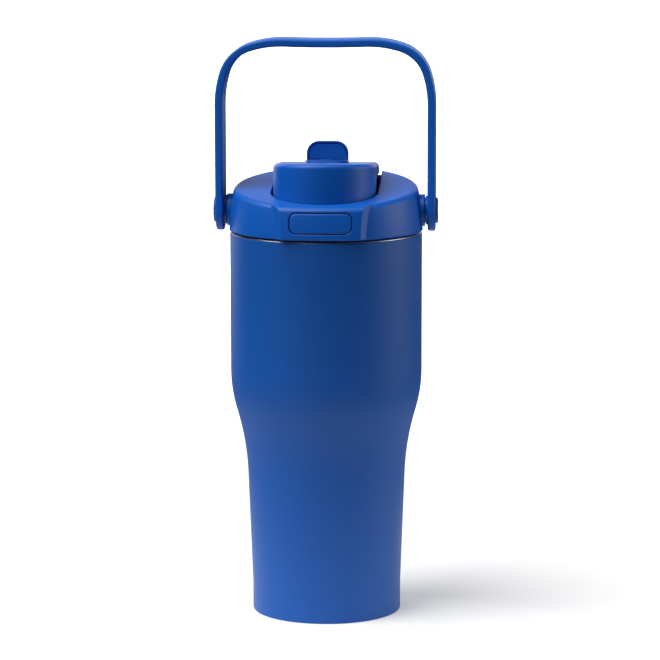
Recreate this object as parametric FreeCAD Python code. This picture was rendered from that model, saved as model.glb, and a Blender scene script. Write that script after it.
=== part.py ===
import FreeCAD, Part
import math
import os
from FreeCAD import Placement, Rotation, Vector

# Insulated tumbler of about one litre, with a push-button flip lid and a bail handle.
# Millimetres, +Z up, origin at the centre of the base, -Y is the side with the button.

# Driving dimensions: vacuum body
FOOT_R = 38.5
FOOT_TOP_Z = 14.0
FOOT_ROUND = 0.8
BODY_R = 49.5
TAPER = math.radians(2.2)
FLARE = math.radians(15.7)
FLARE_START_Z = 73.0
FLARE_LOWER_R = 128.0
FLARE_UPPER_R = 70.0
RIM_Z = 197.8
SHELL_WALL = 0.7
VACUUM_GAP = 3.2
LINER_WALL = 0.6
LINER_FLOOR_Z = 5.0
LINER_CORNER = 7.0
LIP_HEIGHT = 0.6
BASE_FLANGE_R = 35.2
BASE_PLATE_R = 37.2

# Driving dimensions: lid
SEAM_Z = 199.5
COLLAR_R = 49.8
COLLAR_SWEEP_R = 95.0
COLLAR_WALL = 2.2
LID_TOP_Z = 221.85
LID_TOP_SLOPE = math.atan(0.127)
SHOULDER = 2.6
PANEL_PLAN_R = 95.0
PANEL_PROUD = 0.3
PANEL_HALF = 20.0
PANEL_FOOT_HALF = 22.6
PANEL_SHOULDER = 3.3
RECESS_HALF = 27.4
RECESS_ARC_Y = -13.6
RECESS_BACK_Y = 36.9
RECESS_WALL = 1.8
RECESS_CORNER = 4.0
DECK_Z = 210.4
DECK_THICK = 1.8
NOTCH_Z = 219.0
NOTCH_Y = 20.0
LEDGE_Y = 34.0
HOLE_CLEARANCE = 0.5
PANEL_INNER_HALF = 12.0
PANEL_INNER_Y = -30.0
POCKET_HALF = 18.4
POCKET_FRONT_Y = -46.5
POCKET_BACK_Y = -40.0
POCKET_LOW_Z = 201.0
POCKET_HIGH_Z = 213.7
LID_ABOVE = 260.0

# Driving dimensions: plug and drinking spout
PLUG_R = 43.6
PLUG_WALL = 2.0
PLUG_FLOOR_Z = 184.0
PLUG_FLANGE_R = 47.2
PLUG_FLANGE_Z = 200.2
PLUG_FLANGE_THICK = 1.6
PLUG_CHAMFER = 1.5
GASKET_IN_R = 45.6
GASKET_OUT_R = 46.8
GASKET_DROP = 1.6
GASKET_BEAD = 0.6
GASKET_TIP = 0.4
THREAD_TURNS = 1.75
THREAD_RISE = 4.0
THREAD_FOOT = 1.3
THREAD_CREST = 0.5
WEB_HALF = 3.0
SPOUT_FLANGE = 2.5
SPOUT_FLANGE_THICK = 1.4
SPOUT_GASKET = 0.8
SPOUT_FOOT = 1.0
SPOUT_WEB_HALF = 1.5
SPOUT_LIP = 0.6
STRAW_SLEEVE = 0.9
GROMMET_FOOT = 2.6
MITRE_HALF = 5.0
THREAD_R = 44.6
THREAD_PITCH = 4.0
MOUTH_Y = -15.0
MOUTH_R = 14.5
MOUTH_BORE = 12.7
STRAW_Y = 6.2
STRAW_TUBE_R = 5.6
STRAW_PORT_BORE = 2.7
STRAW_R = 3.7
STRAW_BORE = 2.55
STRAW_FOOT_Z = 9.0
STRAW_TOP_Z = 198.0
SPOUT_TOP_Z = 226.0
SPOUT_WEB_TOP_Z = 222.0
SOCKET_TOP_Z = 198.4

# Driving dimensions: flip cap and its hinge
CAP_HALF = 26.1
CAP_WALL = 2.0
CAP_BOTTOM_Z = 212.0
CAP_FRONT_TOP_Z = 236.9
CAP_SLOPE = math.atan(0.08)
CAP_ROUND = 2.2
CAP_STEP = 0.8
CAP_STEP_DROP = 6.0
CAP_STEP_Y = -5.0
FRAME_GAP = 0.1
FRAME_THICK = 1.6
KNUCKLE_R = 5.0
KNUCKLE_W = 14.0
KNUCKLE_LOW_X = (-23.6, 9.6)
KNUCKLE_RISE = 7.6
HINGE_Y = 26.0
HINGE_Z = 221.5
HINGE_PIN_R = 1.6
HINGE_PIN_END = 30.0
HINGE_BOSS_R = 3.4
HINGE_BOSS_X = 25.6
CAP_SPRING_R = 2.7
CAP_SPRING_PITCH = 1.0
CAP_SPRING_TURNS = 8.0
CAP_WIRE_R = 0.4
RUNNING = 0.05
SEAL_GAP = 0.25
SEAL_OVERLAP = 1.1
SEAL_RELIEF = 1.5

# Driving dimensions: latch
BUTTON_W = 30.9
BUTTON_H = 9.9
BUTTON_CORNER = 3.3
BUTTON_Z = 208.0
BUTTON_GAP = 0.5
TONGUE_HALF = 5.5
TONGUE_SIDE_GAP = 1.0
TONGUE_SLOT_AHEAD = 2.7
TONGUE_SLOT_LENGTH = 5.8
TONGUE_FRONT_Y = -36.9
TONGUE_THICK = 1.4
TONGUE_TIP_Z = 203.4
TONGUE_TOP_Z = 234.0
TOOTH_REACH = 1.2
TOOTH_DROP = 0.5
SLIDER_Z = 205.9
SLIDER_THICK = 1.8
BUTTON_BACK_Y = -45.4
BUTTON_FLANGE_HALF = 17.9
BUTTON_FLANGE_LOW_Z = 202.6
BUTTON_FLANGE_HIGH_Z = 213.2
BUTTON_FLANGE_THICK = 0.8
BUTTON_EDGE = 0.55
BUTTON_PROUD = 0.1
SLIDER_HALF = 8.6
SLIDER_BAR = 2.6
SLIDER_EYE_Y = -40.8
LATCH_SPRING_R = 1.5
LATCH_SPRING_PITCH = 1.25
LATCH_SPRING_TURNS = 3.0
LATCH_WIRE_R = 0.25
LATCH_SPRING_X = 11.5
LATCH_SPRING_Z = 210.9

# Driving dimensions: sip flap
FLAP_Y = 12.0
FLAP_W = 21.7
FLAP_TOP = 11.1
FLAP_THICK = 2.6
FLAP_CORNER = 6.4
FLAP_RIM = 1.3
FLAP_DISH = 0.8
FLAP_PAD = 0.5
FLAP_AXIS_H = 0.3
FLAP_PIN_R = 0.5
PLATFORM_H = 1.2
PLATFORM_W = 22.5
PLATFORM_FRONT = -11.9
PLATFORM_REAR = 0.75
PLATFORM_SUNK = 1.0
PLATFORM_MARGIN = 0.4
PLATFORM_EDGE = 0.65
KNUCKLE_SLOT = ((-6.2, -2.4, -1.1), (6.2, 2.5, 3.0))
FLAP_PIN_HALF = 9.5
FLAP_PIN_HOLE = 9.6
FLAP_KNUCKLE_R = 1.1
FLAP_KNUCKLE_HALF = 5.9
FLAP_FOOT = 0.25
FLAP_EDGE = 0.7
FLAP_FACE_GAP = 0.15
PORT_R = 4.0
GROMMET_LIP_R = 3.4
GROMMET_BORE = 2.4
GROMMET_PROUD = 0.45
GROMMET_REACH = 8.0
GROMMET_CREST = 0.3

# Driving dimensions: bail handle
PIVOT_Z = 209.5
HANDLE_HALF = 56.4
HANDLE_THICK = 4.1
HANDLE_W = 21.3
HANDLE_TOP_Z = 297.8
HANDLE_ARC_LONG = 55.0
HANDLE_ARC_SHORT = 22.0
HANDLE_EDGE = 1.1
HANDLE_TURN_LEG = 18.0
HANDLE_TURN_CORNER = 54.0
HANDLE_TURN_TOP = 20.0
BOSS_R = 8.25
BOSS_ROOT_X = 42.0
BOSS_END_X = 50.9
BUSH_FLANGE_X = 51.3
BUSH_FLANGE_R = 7.5
BUSH_R = 4.6
PIVOT_PIN_R = 3.0
PIVOT_ROOT_X = 41.5
PIVOT_HEAD_R = 6.65
PIVOT_HEAD_X = 56.6
PIVOT_END_X = 57.7
PIVOT_CHAMFER = 0.5
WASHER_R = 6.4
WASHER_GAP = 0.1

X_AXIS = Vector(1, 0, 0)
Y_AXIS = Vector(0, 1, 0)
Z_AXIS = Vector(0, 0, 1)
FAR = 80.0
MERGE = 0.2
TINY = 0.01


def save(name, shape):
    """Write one sub-part to parts/NAME.step."""
    shape.exportStep("parts/" + name + ".step")


def xz(point):
    """A point of a radial outline, radius first, as a vector in the XZ plane."""
    return Vector(point[0], 0, point[1])


def line(a, b):
    return Part.LineSegment(a, b).toShape()


def arc(a, middle, b):
    return Part.Arc(a, middle, b).toShape()


def polygon(points):
    """A flat face with straight sides."""
    return Part.Face(Part.makePolygon(list(points) + [points[0]]))


def turned(edges, axis_y=0.0):
    """The solid that a closed outline in the XZ plane sweeps about a vertical axis."""
    face = Part.Face(Part.Wire(edges))
    solid = face.revolve(Vector(0, 0, 0), Z_AXIS, 360)
    solid.translate(Vector(0, axis_y, 0))
    return solid


def turned_points(points):
    """turned() for an outline of straight lines, given as (radius, z) pairs."""
    corners = [xz(p) for p in points]
    return turned([line(a, b) for a, b in zip(corners, corners[1:] + corners[:1])])


def cylinder(radius, z_low, z_high, x=0.0, y=0.0):
    return Part.makeCylinder(radius, z_high - z_low, Vector(x, y, z_low), Z_AXIS)


def cross_cylinder(radius, x_low, x_high, y, z):
    """A cylinder along X."""
    return Part.makeCylinder(radius, x_high - x_low, Vector(x_low, y, z), X_AXIS)


def box(low, high):
    size = [h - l for l, h in zip(low, high)]
    return Part.makeBox(*size, Vector(*low))


def rounded_plate(half_x, low_z, high_z, radius, y_low, y_high):
    """A rounded rectangle standing in the XZ plane, as thick as y_low to y_high."""
    plate = box((-half_x, y_low, low_z), (half_x, y_high, high_z))
    edges = [e for e in plate.Edges if abs(e.tangentAt(e.FirstParameter).y) > 0.99]
    return plate.makeFillet(radius, edges)


def arched_plate(half_x, low_z, high_z, radius, y_low, y_high):
    """A plate standing in the XZ plane with only its upper corners rounded."""
    plate = box((-half_x, y_low, low_z), (half_x, y_high, high_z))
    edges = [
        e for e in plate.Edges
        if abs(e.tangentAt(e.FirstParameter).y) > 0.99 and e.CenterOfMass.z > high_z - 0.1
    ]
    return plate.makeFillet(radius, edges)


def below_slope(y_zero, z_zero, slope, rise_to_back):
    """Everything below a plane through (y_zero, z_zero) that tilts along Y."""
    direction = Vector(0, math.cos(slope), math.sin(slope) * (1 if rise_to_back else -1))
    start = Vector(0, y_zero, z_zero)
    front = start - direction * (2 * FAR)
    back = start + direction * (2 * FAR)
    corners = [front, back, Vector(0, back.y, 100), Vector(0, front.y, 100)]
    slab = polygon(corners).extrude(Vector(2 * FAR, 0, 0))
    slab.translate(Vector(-FAR, 0, 0))
    return slab


def helix_wire(radius, pitch, turns, wire_r):
    """A round wire wound about Z, starting at z = 0."""
    spine = Part.makeHelix(pitch, pitch * turns, radius)
    start = spine.Edges[0].valueAt(spine.Edges[0].FirstParameter)
    section = Part.Wire(Part.makeCircle(wire_r, start, Y_AXIS))
    return spine.makePipeShell([section], True, True)


def mirrored_pair(shape):
    return Part.makeCompound([shape, shape.mirror(Vector(0, 0, 0), X_AXIS)])


# The side line of the body is a foot cylinder, a slight taper, and a flare of two arcs
# joined by a short straight, which ends tangent to the upper cylinder.
FLARE_START_R = FOOT_R + (FLARE_START_Z - FOOT_TOP_Z) * math.tan(TAPER)
LOWER_CENTRE = (
    FLARE_START_R + FLARE_LOWER_R * math.cos(TAPER),
    FLARE_START_Z - FLARE_LOWER_R * math.sin(TAPER),
)
LOWER_END = (
    LOWER_CENTRE[0] - FLARE_LOWER_R * math.cos(FLARE),
    LOWER_CENTRE[1] + FLARE_LOWER_R * math.sin(FLARE),
)
UPPER_START_R = BODY_R - FLARE_UPPER_R * (1 - math.cos(FLARE))
UPPER_START_Z = LOWER_END[1] + (UPPER_START_R - LOWER_END[0]) / math.tan(FLARE)
UPPER_CENTRE = (BODY_R - FLARE_UPPER_R, UPPER_START_Z + FLARE_UPPER_R * math.sin(FLARE))


def lower_flare(offset, angle):
    reach = FLARE_LOWER_R + offset
    return xz((LOWER_CENTRE[0] - reach * math.cos(angle), LOWER_CENTRE[1] + reach * math.sin(angle)))


def upper_flare(offset, angle):
    reach = FLARE_UPPER_R - offset
    return xz((UPPER_CENTRE[0] + reach * math.cos(angle), UPPER_CENTRE[1] - reach * math.sin(angle)))


def body_side(offset, low_z, high_z):
    """Edges of the side line from low_z to high_z, moved inwards by offset."""
    foot = xz((FOOT_R - offset, low_z))
    foot_top = xz((FOOT_R - offset, FOOT_TOP_Z + offset * math.tan(TAPER / 2)))
    lower = [lower_flare(offset, a) for a in (TAPER, (TAPER + FLARE) / 2, FLARE)]
    upper = [upper_flare(offset, a) for a in (FLARE, FLARE / 2, 0.0)]
    top = xz((BODY_R - offset, high_z))
    return [
        line(foot, foot_top),
        line(foot_top, lower[0]),
        arc(*lower),
        line(lower[2], upper[0]),
        arc(*upper),
        line(upper[2], top),
    ]


def corner_arc(centre, radius, start_deg, end_deg):
    """An arc in the XZ plane about centre, angles from +X towards +Z."""
    points = []
    for angle in (start_deg, (start_deg + end_deg) / 2, end_deg):
        turn = math.radians(angle)
        points.append(xz((centre[0] + radius * math.cos(turn), centre[1] + radius * math.sin(turn))))
    return arc(*points)


def outer_shell():
    """Coated steel outside wall, its foot rolled in to a narrow flange."""
    inner_r = FOOT_R - SHELL_WALL
    round_in = FOOT_ROUND - SHELL_WALL
    edges = body_side(0, FOOT_ROUND, RIM_Z)
    edges.append(line(xz((BODY_R, RIM_Z)), xz((BODY_R - SHELL_WALL, RIM_Z))))
    edges += body_side(SHELL_WALL, FOOT_ROUND, RIM_Z)
    edges.append(corner_arc((inner_r - round_in, FOOT_ROUND), round_in, 0, -90))
    edges.append(line(xz((inner_r - round_in, SHELL_WALL)), xz((BASE_FLANGE_R, SHELL_WALL))))
    edges.append(line(xz((BASE_FLANGE_R, SHELL_WALL)), xz((BASE_FLANGE_R, 0))))
    edges.append(line(xz((BASE_FLANGE_R, 0)), xz((FOOT_R - FOOT_ROUND, 0))))
    edges.append(corner_arc((FOOT_R - FOOT_ROUND, FOOT_ROUND), FOOT_ROUND, -90, 0))
    return turned(Part.__sortEdges__(edges))


def inner_liner():
    """Bare steel inside wall, its top folded out over the shell as the rim."""
    outside = SHELL_WALL + VACUUM_GAP
    inside = outside + LINER_WALL
    edges = []
    for offset, floor_z, radius in (
        (outside, LINER_FLOOR_Z - LINER_WALL, LINER_CORNER + LINER_WALL),
        (inside, LINER_FLOOR_Z, LINER_CORNER),
    ):
        turn_z = floor_z + radius
        centre = (FOOT_R - offset - radius, turn_z)
        edges.append(line(xz((0, floor_z)), xz((centre[0], floor_z))))
        edges.append(corner_arc(centre, radius, -90, 0))
    edges += body_side(outside, LINER_FLOOR_Z + LINER_CORNER, RIM_Z)
    edges += body_side(inside, LINER_FLOOR_Z + LINER_CORNER, RIM_Z)
    neck_out = BODY_R - outside
    neck_in = BODY_R - inside
    lip_r = BODY_R - LIP_HEIGHT - 0.1
    edges.append(line(xz((neck_out, RIM_Z)), xz((lip_r, RIM_Z))))
    edges.append(corner_arc((lip_r, RIM_Z + LIP_HEIGHT / 2), LIP_HEIGHT / 2, -90, 90))
    edges.append(line(xz((lip_r, RIM_Z + LIP_HEIGHT)), xz((neck_in + LIP_HEIGHT, RIM_Z + LIP_HEIGHT))))
    edges.append(corner_arc((neck_in + LIP_HEIGHT, RIM_Z), LIP_HEIGHT, 90, 180))
    edges.append(line(xz((0, LINER_FLOOR_Z - LINER_WALL)), xz((0, LINER_FLOOR_Z))))
    return turned(Part.__sortEdges__(edges))


def base_plate():
    """Steel disc welded behind the foot flange, dished in at its middle."""
    z = SHELL_WALL
    dish_r = 27.0
    dish = 0.8
    return turned_points([
        (0, z + dish), (dish_r - dish, z + dish), (dish_r, z), (BASE_PLATE_R, z),
        (BASE_PLATE_R, z + SHELL_WALL), (dish_r, z + SHELL_WALL),
        (dish_r - dish, z + dish + SHELL_WALL), (0, z + dish + SHELL_WALL),
    ])


def vacuum_seal():
    """Small cap over the hole that the air was drawn from."""
    top = SHELL_WALL + 0.8
    seal = cylinder(7.0, top - 0.6, top)
    rim = [e for e in seal.Edges if e.BoundBox.ZMax < top - 0.5 and e.Length > 30]
    return seal.makeFillet(0.4, rim)


def collar_sweep(axis_y, radius, low_z, high_z):
    """A drum whose wall is upright at the seam and leans inwards as a long arc above it."""
    def wall(z):
        return radius - COLLAR_SWEEP_R + math.sqrt(COLLAR_SWEEP_R ** 2 - (z - SEAM_Z) ** 2)

    low, high = (0, low_z), (0, high_z)
    curve = [xz((wall(z), z)) for z in (low_z, (low_z + high_z) / 2, high_z)]
    edges = [line(xz(low), curve[0]), arc(*curve), line(curve[2], xz(high)), line(xz(high), xz(low))]
    return turned(edges, axis_y)


def top_rim(solid):
    """The edges where the sloping lid top meets a curved wall."""
    rim = []
    for edge in solid.Edges:
        on_top = [abs(v.Point.z - lid_top(v.Point.y)) < 0.01 for v in edge.Vertexes]
        middle = edge.valueAt((edge.FirstParameter + edge.LastParameter) / 2)
        curved = edge.Curve.TypeId not in ("Part::GeomLine",)
        if all(on_top) and abs(middle.z - lid_top(middle.y)) < 0.01 and curved:
            rim.append(edge)
    return rim


def lid_top(y):
    return LID_TOP_Z + math.tan(LID_TOP_SLOPE) * y


def u_plan(half, back_y, corner, z_low, z_high):
    """A block with straight sides, a half-round front and rounded back corners."""
    block = box((-half, RECESS_ARC_Y, z_low), (half, back_y, z_high))
    back = [
        e for e in block.Edges
        if abs(e.tangentAt(e.FirstParameter).z) > 0.99 and e.CenterOfMass.y > back_y - 0.1
    ]
    if corner > 0:
        block = block.makeFillet(corner, back)
    front = cylinder(half, z_low, z_high, y=RECESS_ARC_Y)
    return block.fuse(front).removeSplitter()


def panel_drum(extra=0.0):
    """The flatter front surface: the collar's own sweep at a larger plan radius."""
    radius = PANEL_PLAN_R + extra
    axis_y = PANEL_PLAN_R - COLLAR_R - PANEL_PROUD
    return collar_sweep(axis_y, radius, SEAM_Z, LID_TOP_Z + 6)


def lid_collar():
    """Moulded outer ring with the recess for the cap, the button window and two bosses."""
    slope = below_slope(0, LID_TOP_Z, LID_TOP_SLOPE, True)
    drum = collar_sweep(0, COLLAR_R, SEAM_Z, LID_TOP_Z + 8).common(slope)
    drum = drum.makeFillet(SHOULDER, top_rim(drum))

    edge_y = PANEL_PLAN_R - COLLAR_R - PANEL_PROUD - math.sqrt(PANEL_PLAN_R ** 2 - PANEL_HALF ** 2)
    foot_y = -math.sqrt(COLLAR_R ** 2 - PANEL_FOOT_HALF ** 2)
    lean = (PANEL_FOOT_HALF - PANEL_HALF) / (foot_y - edge_y)
    out_y, in_y = edge_y - 6, foot_y + 4
    out_x, in_x = PANEL_HALF - 6 * lean, PANEL_FOOT_HALF + 4 * lean
    plan = [(-in_x, in_y), (-out_x, out_y), (out_x, out_y), (in_x, in_y),
            (PANEL_INNER_HALF, PANEL_INNER_Y), (-PANEL_INNER_HALF, PANEL_INNER_Y)]
    prism = polygon([Vector(x, y, SEAM_Z) for x, y in plan]).extrude(Vector(0, 0, 40))
    panel = panel_drum().common(slope)
    panel = panel.makeFillet(PANEL_SHOULDER, top_rim(panel)).common(prism)
    outer = drum.fuse(panel)

    bosses = [
        cross_cylinder(BOSS_R, BOSS_ROOT_X, BOSS_END_X, 0, PIVOT_Z),
        cross_cylinder(BOSS_R, -BOSS_END_X, -BOSS_ROOT_X, 0, PIVOT_Z),
    ]
    recess_block = u_plan(RECESS_HALF + RECESS_WALL, RECESS_BACK_Y + RECESS_WALL, RECESS_CORNER,
                          DECK_Z - DECK_THICK, LID_ABOVE)
    ledge = box((-RECESS_HALF - RECESS_WALL, LEDGE_Y, NOTCH_Z - RECESS_WALL),
                (RECESS_HALF + RECESS_WALL, FAR, LID_ABOVE))
    recess_block = recess_block.fuse(ledge)
    ceiling = below_slope(0, LID_TOP_Z - COLLAR_WALL, LID_TOP_SLOPE, True)
    cavity = collar_sweep(0, COLLAR_R - COLLAR_WALL, SEAM_Z - 1, LID_TOP_Z + 8).common(ceiling)
    pocket = box((-POCKET_HALF, POCKET_FRONT_Y, POCKET_LOW_Z), (POCKET_HALF, POCKET_BACK_Y, POCKET_HIGH_Z))
    cavity = cavity.fuse(pocket).cut(recess_block)
    collar = outer.cut(cavity).fuse(bosses)

    recess = u_plan(RECESS_HALF, RECESS_BACK_Y, RECESS_CORNER, DECK_Z, LID_ABOVE)
    notch = box((-RECESS_HALF, NOTCH_Y, NOTCH_Z), (RECESS_HALF, FAR, LID_ABOVE))
    spout_hole = cylinder(MOUTH_R + HOLE_CLEARANCE, SEAM_Z, NOTCH_Z, y=MOUTH_Y)
    straw_hole = cylinder(STRAW_TUBE_R + HOLE_CLEARANCE, SEAM_Z, NOTCH_Z, y=STRAW_Y)
    web_hole = box((-WEB_HALF, MOUTH_Y, SEAM_Z), (WEB_HALF, STRAW_Y, NOTCH_Z))
    slot_front = TONGUE_FRONT_Y - TONGUE_SLOT_AHEAD
    slot_half = TONGUE_HALF + TONGUE_SIDE_GAP
    slot_back = slot_front + TONGUE_SLOT_LENGTH
    tongue_slot = box((-slot_half, slot_front, SEAM_Z), (slot_half, slot_back, CAP_BOTTOM_Z))
    window = rounded_plate(BUTTON_W / 2 + BUTTON_GAP, BUTTON_Z - BUTTON_H / 2 - BUTTON_GAP,
                           BUTTON_Z + BUTTON_H / 2 + BUTTON_GAP, BUTTON_CORNER + BUTTON_GAP, -60, -45)
    pin_hole = cross_cylinder(HINGE_PIN_R, -HINGE_PIN_END, HINGE_PIN_END, HINGE_Y, HINGE_Z)
    pivot_holes = cross_cylinder(PIVOT_PIN_R, -FAR, FAR, 0, PIVOT_Z).cut(
        cross_cylinder(PIVOT_PIN_R, -PIVOT_ROOT_X, PIVOT_ROOT_X, 0, PIVOT_Z))
    collar = collar.cut([recess, notch, spout_hole, straw_hole, web_hole, tongue_slot, window])
    hinge_boss = cross_cylinder(HINGE_BOSS_R, HINGE_BOSS_X, RECESS_HALF + 0.5, HINGE_Y, HINGE_Z)
    collar = collar.fuse(mirrored_pair(hinge_boss))
    return collar.cut([pin_hole, pivot_holes]).removeSplitter()


def thread_ridge():
    """One and three quarter turns of a rounded ridge round the plug."""
    root = PLUG_R - MERGE
    spine = Part.makeHelix(THREAD_PITCH, THREAD_PITCH * THREAD_TURNS, root)
    outline = [(root, -THREAD_FOOT), (THREAD_R, -THREAD_CREST), (THREAD_R, THREAD_CREST), (root, THREAD_FOOT)]
    section = Part.makePolygon([xz(p) for p in outline + outline[:1]])
    ridge = spine.makePipeShell([section], True, True)
    ridge.translate(Vector(0, 0, PLUG_FLOOR_Z + THREAD_RISE))
    return ridge


def lid_core():
    """Threaded plug: a dry cup whose flange carries the collar and the gasket."""
    top = PLUG_FLANGE_Z + PLUG_FLANGE_THICK
    floor_top = PLUG_FLOOR_Z + PLUG_WALL
    bore = PLUG_R - PLUG_WALL
    cup = turned_points([
        (0, PLUG_FLOOR_Z), (PLUG_R - PLUG_CHAMFER, PLUG_FLOOR_Z), (PLUG_R, PLUG_FLOOR_Z + PLUG_CHAMFER),
        (PLUG_R, PLUG_FLANGE_Z), (PLUG_FLANGE_R, PLUG_FLANGE_Z), (PLUG_FLANGE_R, top),
        (bore, top), (bore, floor_top), (0, floor_top),
    ])
    mouth = cylinder(MOUTH_R, 0, floor_top + 1, y=MOUTH_Y)
    straw = cylinder(STRAW_TUBE_R, 0, floor_top + 1, y=STRAW_Y)
    boss_room = cross_cylinder(BOSS_R + MERGE, -FAR, FAR, 0, PIVOT_Z)
    return cup.fuse(thread_ridge()).cut([mouth, straw, boss_room])


def lid_gasket():
    """Silicone ring under the plug's flange, with a rounded sealing bead."""
    low = PLUG_FLANGE_Z - GASKET_DROP
    shoulder = low + GASKET_BEAD
    outline = [(GASKET_IN_R, PLUG_FLANGE_Z), (GASKET_IN_R, shoulder), (GASKET_IN_R + GASKET_TIP, low),
               (GASKET_OUT_R - GASKET_TIP, low), (GASKET_OUT_R, shoulder), (GASKET_OUT_R, PLUG_FLANGE_Z)]
    return turned_points(outline)


def drink_spout():
    """Wide mouth and straw port, moulded together on a flange that sits in the plug."""
    flange_low = PLUG_FLOOR_Z + PLUG_WALL + SPOUT_GASKET
    flange_high = flange_low + SPOUT_FLANGE_THICK
    flange = cylinder(MOUTH_R + SPOUT_FLANGE, flange_low, flange_high, y=MOUTH_Y)
    flange = flange.fuse(cylinder(STRAW_TUBE_R + SPOUT_FLANGE, flange_low, flange_high, y=STRAW_Y))
    foot_z = PLUG_FLOOR_Z - SPOUT_FOOT
    mouth = cylinder(MOUTH_R, foot_z, SPOUT_TOP_Z, y=MOUTH_Y)
    straw = cylinder(STRAW_TUBE_R, foot_z, SPOUT_TOP_Z, y=STRAW_Y)
    web = box((-SPOUT_WEB_HALF, MOUTH_Y, flange_low), (SPOUT_WEB_HALF, STRAW_Y, SPOUT_WEB_TOP_Z))
    spout = flange.fuse([mouth, straw, web])
    mouth_bore = cylinder(MOUTH_BORE, 0, LID_ABOVE, y=MOUTH_Y)
    port_bore = cylinder(STRAW_PORT_BORE, 0, LID_ABOVE, y=STRAW_Y)
    socket = cylinder(STRAW_R + STRAW_SLEEVE, 0, SOCKET_TOP_Z, y=STRAW_Y)
    spout = spout.cut([mouth_bore, port_bore, socket]).removeSplitter()
    lips = [e for e in spout.Edges if e.BoundBox.ZMin > SPOUT_TOP_Z - TINY]
    return spout.makeFillet(SPOUT_LIP, lips)


def spout_gasket():
    """Flat silicone gasket between the spout's flange and the plug's floor."""
    low = PLUG_FLOOR_Z + PLUG_WALL
    rim = SPOUT_FLANGE - 0.5
    sheet = cylinder(MOUTH_R + rim, low, low + SPOUT_GASKET, y=MOUTH_Y)
    sheet = sheet.fuse(cylinder(STRAW_TUBE_R + rim, low, low + SPOUT_GASKET, y=STRAW_Y))
    return sheet.cut([
        cylinder(MOUTH_R, 0, LID_ABOVE, y=MOUTH_Y),
        cylinder(STRAW_TUBE_R, 0, LID_ABOVE, y=STRAW_Y),
    ]).removeSplitter()


def straw():
    tube = cylinder(STRAW_R, STRAW_FOOT_Z, STRAW_TOP_Z, y=STRAW_Y)
    tube = tube.cut(cylinder(STRAW_BORE, 0, LID_ABOVE, y=STRAW_Y))
    front_y, rear_y = STRAW_Y - MITRE_HALF, STRAW_Y + MITRE_HALF
    outline = [(front_y, STRAW_FOOT_Z - 1), (rear_y, STRAW_FOOT_Z - 1), (rear_y, STRAW_FOOT_Z + MITRE_HALF)]
    mitre = polygon([Vector(-MITRE_HALF, y, z) for y, z in outline]).extrude(Vector(2 * MITRE_HALF, 0, 0))
    return tube.cut(mitre)


def straw_grommet():
    """Soft sleeve that grips the straw in the spout's socket."""
    foot = PLUG_FLOOR_Z - GROMMET_FOOT
    sleeve = cylinder(STRAW_R + STRAW_SLEEVE, foot, STRAW_TOP_Z, y=STRAW_Y)
    lip = cylinder(STRAW_TUBE_R, foot, PLUG_FLOOR_Z - SPOUT_FOOT, y=STRAW_Y)
    return sleeve.fuse(lip).cut(cylinder(STRAW_R, 0, LID_ABOVE, y=STRAW_Y)).removeSplitter()


def cap_top(y):
    return CAP_FRONT_TOP_Z - math.tan(CAP_SLOPE) * (y + CAP_HALF - RECESS_ARC_Y)


def barrel_radius():
    return (cap_top(HINGE_Y) - HINGE_Z) * math.cos(CAP_SLOPE)


def cap_solid(inset, drop, bottom_z, crown_round=0.0):
    """The cap's form moved in by inset at the sides and drop at the top, its back a half barrel."""
    reach = barrel_radius() - drop
    plan = u_plan(CAP_HALF - inset, HINGE_Y + reach + 5, 0, bottom_z, 250)
    front = Vector(0, -60, cap_top(-60) - drop / math.cos(CAP_SLOPE))
    turns = (CAP_SLOPE, math.radians(45), math.radians(90))
    round_back = [Vector(0, HINGE_Y + reach * math.sin(t), HINGE_Z + reach * math.cos(t)) for t in turns]
    heel = Vector(0, HINGE_Y + reach, bottom_z)
    toe = Vector(0, -60, bottom_z)
    wire = Part.Wire([line(front, round_back[0]), arc(*round_back), line(round_back[2], heel),
                      line(heel, toe), line(toe, front)])
    side = Part.Face(wire).extrude(Vector(2 * FAR, 0, 0))
    side.translate(Vector(-FAR, 0, 0))
    solid = plan.common(side)
    if crown_round > 0:
        solid = solid.makeFillet(crown_round, crown_edges(solid, bottom_z))
    under = box((-FAR, HINGE_Y, bottom_z - 1), (FAR, FAR, HINGE_Z))
    return solid.cut(under.cut(cross_cylinder(reach, -FAR, FAR, HINGE_Y, HINGE_Z)))


def crown_edges(solid, bottom_z):
    """The edge round the cap's top and down its back corners."""
    crown = []
    for edge in solid.Edges:
        middle = edge.valueAt((edge.FirstParameter + edge.LastParameter) / 2)
        across = edge.BoundBox.XLength > CAP_HALF and middle.y > 0
        front_corner = edge.BoundBox.YLength < 0.01 and middle.y < 0
        if edge.BoundBox.ZMax > bottom_z + 1 and not across and not front_corner:
            crown.append(edge)
    return crown


def on_cap_top(shape):
    """Move a shape drawn on a level top, at the flap's axis, onto the sloping cap."""
    turned_shape = shape.copy()
    angle = -math.degrees(CAP_SLOPE)
    turned_shape.Placement = Placement(Vector(0, FLAP_Y, cap_top(FLAP_Y)), Rotation(X_AXIS, angle))
    return turned_shape


def platform():
    """Low seat for the folded flap, with the slot and ears of its hinge."""
    half = PLATFORM_W / 2
    seat = box((-half, PLATFORM_FRONT, -PLATFORM_SUNK), (half, PLATFORM_REAR, PLATFORM_H))
    front = [
        e for e in seat.Edges
        if abs(e.tangentAt(e.FirstParameter).z) > 0.99 and e.CenterOfMass.y < PLATFORM_FRONT + 0.1
    ]
    seat = seat.makeFillet(FLAP_CORNER + PLATFORM_MARGIN, front)
    top = [e for e in seat.Edges if e.BoundBox.ZMin > PLATFORM_H - 0.01]
    return seat.makeFillet(PLATFORM_EDGE, top)


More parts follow.
